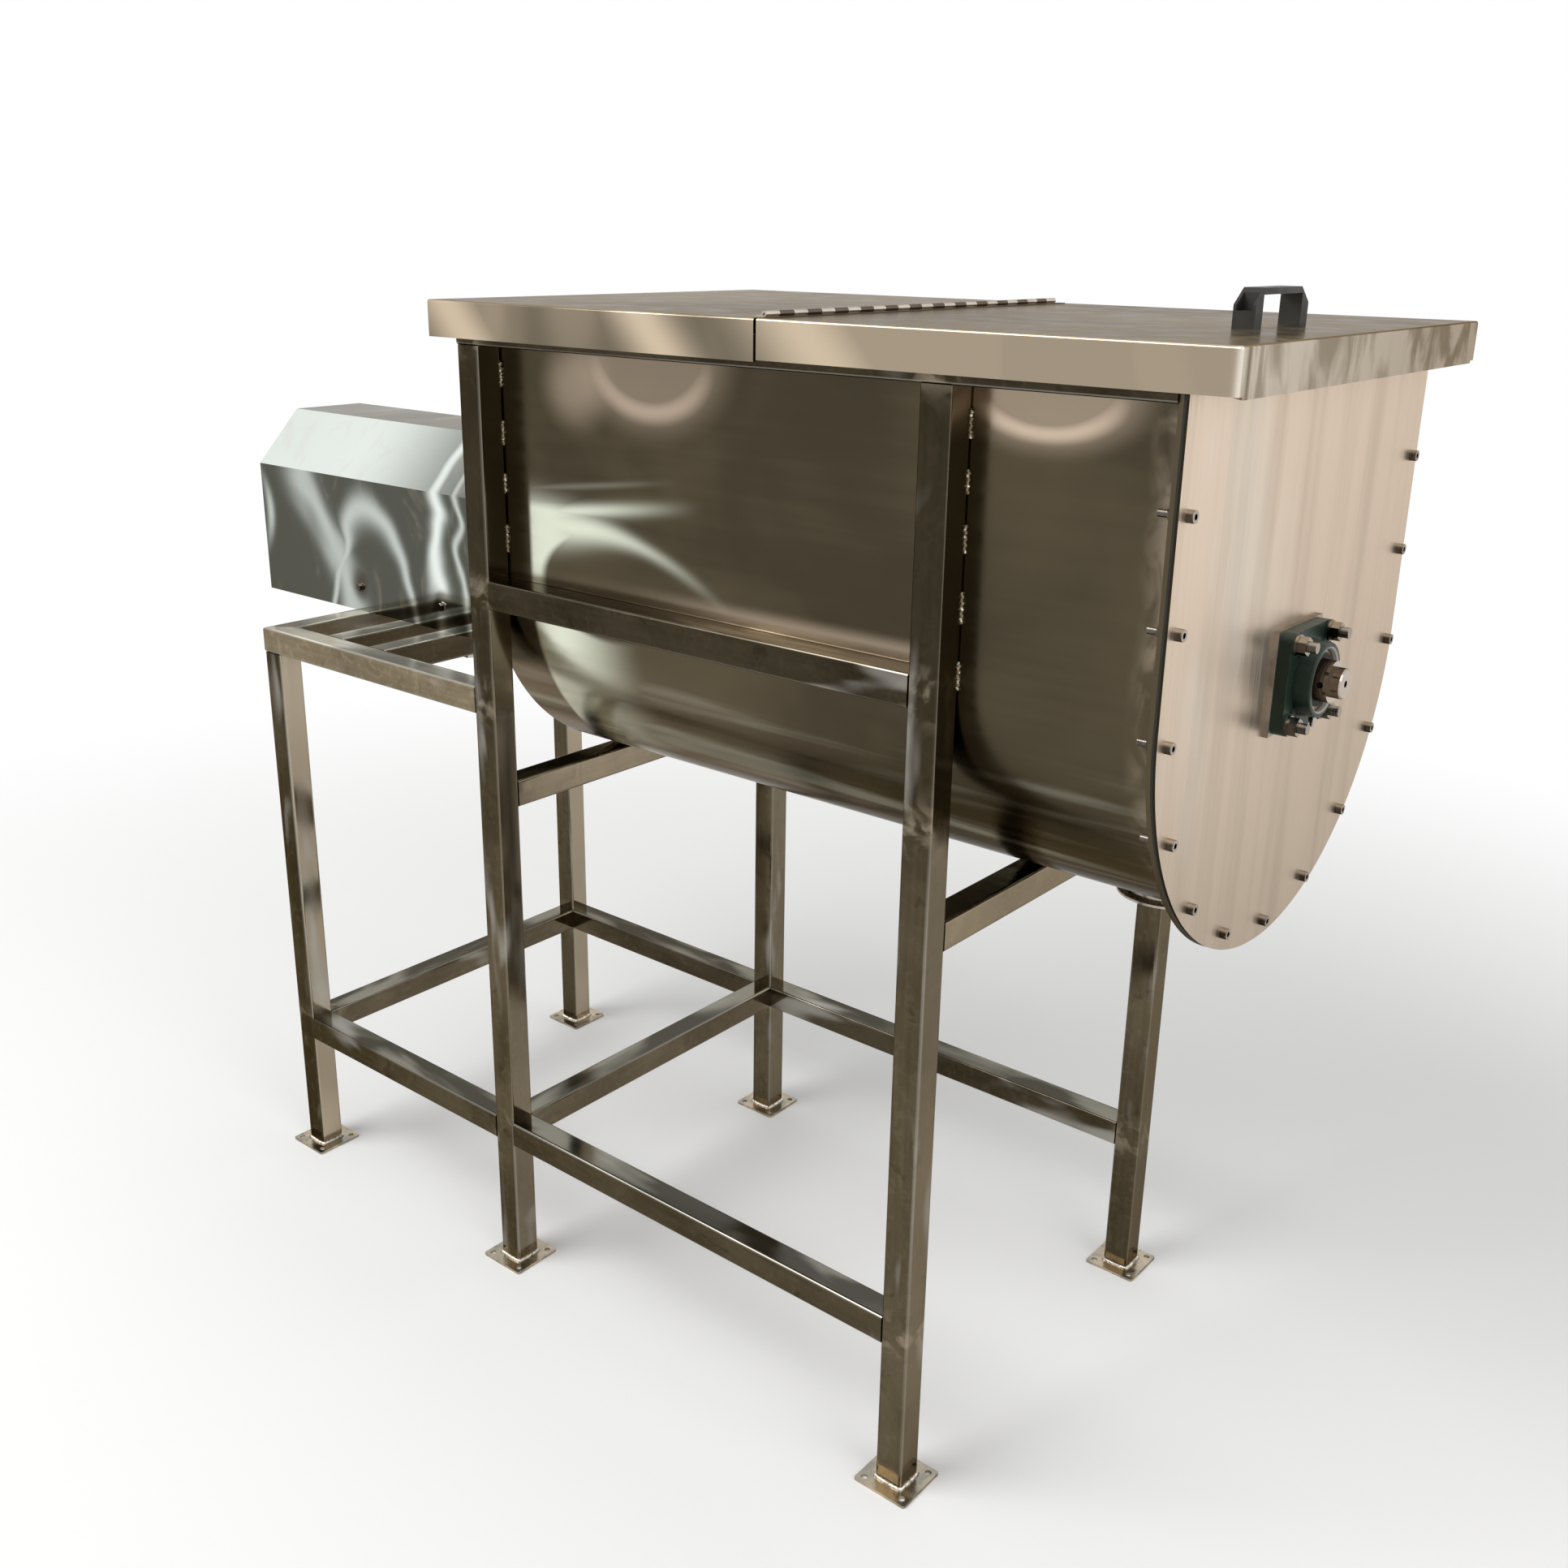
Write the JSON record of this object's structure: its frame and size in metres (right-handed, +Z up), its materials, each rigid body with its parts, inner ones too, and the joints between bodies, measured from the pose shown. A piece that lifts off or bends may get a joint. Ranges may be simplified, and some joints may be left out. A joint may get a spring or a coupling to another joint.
{
  "type": "ribbon blender",
  "caption": "Horizontal ribbon blender: U-shaped trough on a square tube frame, hinged lid, double ribbon agitator on flange bearings, covered gear motor.",
  "frame": {"origin": "on the floor, under the centre of the overall box", "axes": "+X along the trough from the motor to the outlet end, +Y from the front long side to the back, +Z up"},
  "size_m": [1.856, 0.69, 1.496],
  "materials": {
    "polished_tube": "polished stainless tube with smudges",
    "mirror_sheet": "bright stainless sheet, near mirror",
    "lid_sheet": "polished stainless sheet",
    "cover_sheet": "mirror stainless sheet",
    "satin_plate": "satin stainless plate",
    "black_rubber": "matte black rubber",
    "black_plastic": "satin black plastic",
    "green_casting": "gloss dark green paint",
    "bearing_steel": "ground steel",
    "bright_fastener": "bright stainless fasteners",
    "agitator_steel": "ground stainless",
    "coupling_iron": "dark grey iron",
    "gearbox_paint": "blue grey paint",
    "motor_alloy": "blue grey paint on aluminium",
    "cowl_paint": "blue grey paint on steel sheet"
  },
  "bodies": {
    "root": {"leg_front_left": "polished_tube", "leg_front_middle": "polished_tube", "leg_front_right": "polished_tube", "leg_back_left": "polished_tube", "leg_back_middle": "polished_tube", "leg_back_right": "polished_tube", "lower_rail_front_left": "polished_tube", "lower_rail_front_right": "polished_tube", "lower_rail_back_left": "polished_tube", "lower_rail_back_right": "polished_tube", "lower_cross_rails": "polished_tube", "trough_cross_rails": "polished_tube", "side_rail_front": "polished_tube", "side_rail_back": "polished_tube", "top_rail_front": "polished_tube", "top_rail_back": "polished_tube", "table_rail_front": "polished_tube", "table_rail_back": "polished_tube", "table_rail_end": "polished_tube", "table_slats": "polished_tube", "foot_plates": "polished_tube", "cover_brackets": "polished_tube", "trough_shell": "mirror_sheet", "trough_left_plate": "mirror_sheet", "outlet_spout": "mirror_sheet", "fixed_cover": "lid_sheet", "hinge_leaf_fixed": "lid_sheet", "motor_cover": "cover_sheet", "end_plate": "satin_plate", "trough_flange": "satin_plate", "bearing_plates": "satin_plate", "end_gasket": "black_rubber", "lid_seal": "black_rubber", "shaft_seals": "black_rubber", "bearing_seals": "black_rubber", "bearing_housings": "green_casting", "bearing_outer_rings": "bearing_steel", "hinge_pin": "bearing_steel", "end_plate_bolts": "bright_fastener", "bearing_studs": "bright_fastener", "grease_nipples": "bright_fastener", "gearbox_bolts": "bright_fastener", "cover_screws": "bright_fastener", "gearbox": "gearbox_paint", "motor": "motor_alloy", "terminal_box": "motor_alloy", "motor_fan_cowl": "cowl_paint"},
    "lid": {"hinged_lid": "lid_sheet", "lid_handle": "black_plastic", "handle_screws": "bright_fastener", "hinge_leaf_moving": "lid_sheet"},
    "agitator": {"agitator_shaft": "agitator_steel", "agitator_spokes": "agitator_steel", "outer_ribbons": "agitator_steel", "inner_ribbons": "agitator_steel", "bearing_inner_rings": "bearing_steel", "coupling_hubs": "coupling_iron", "coupling_spider": "black_rubber", "gearbox_shaft": "bearing_steel"}
  },
  "joints": [
    {"name": "lid_hinge", "type": "hinge", "parent": "root", "child": "lid", "pos_m": [0.3465, 0, 1.4585], "axis": [0, -1, 0], "range_deg": [0, 170]},
    {"name": "agitator_spin", "type": "hinge", "parent": "root", "child": "agitator", "pos_m": [0, 0, 1.08], "axis": [1, 0, 0], "continuous": true}
  ]
}
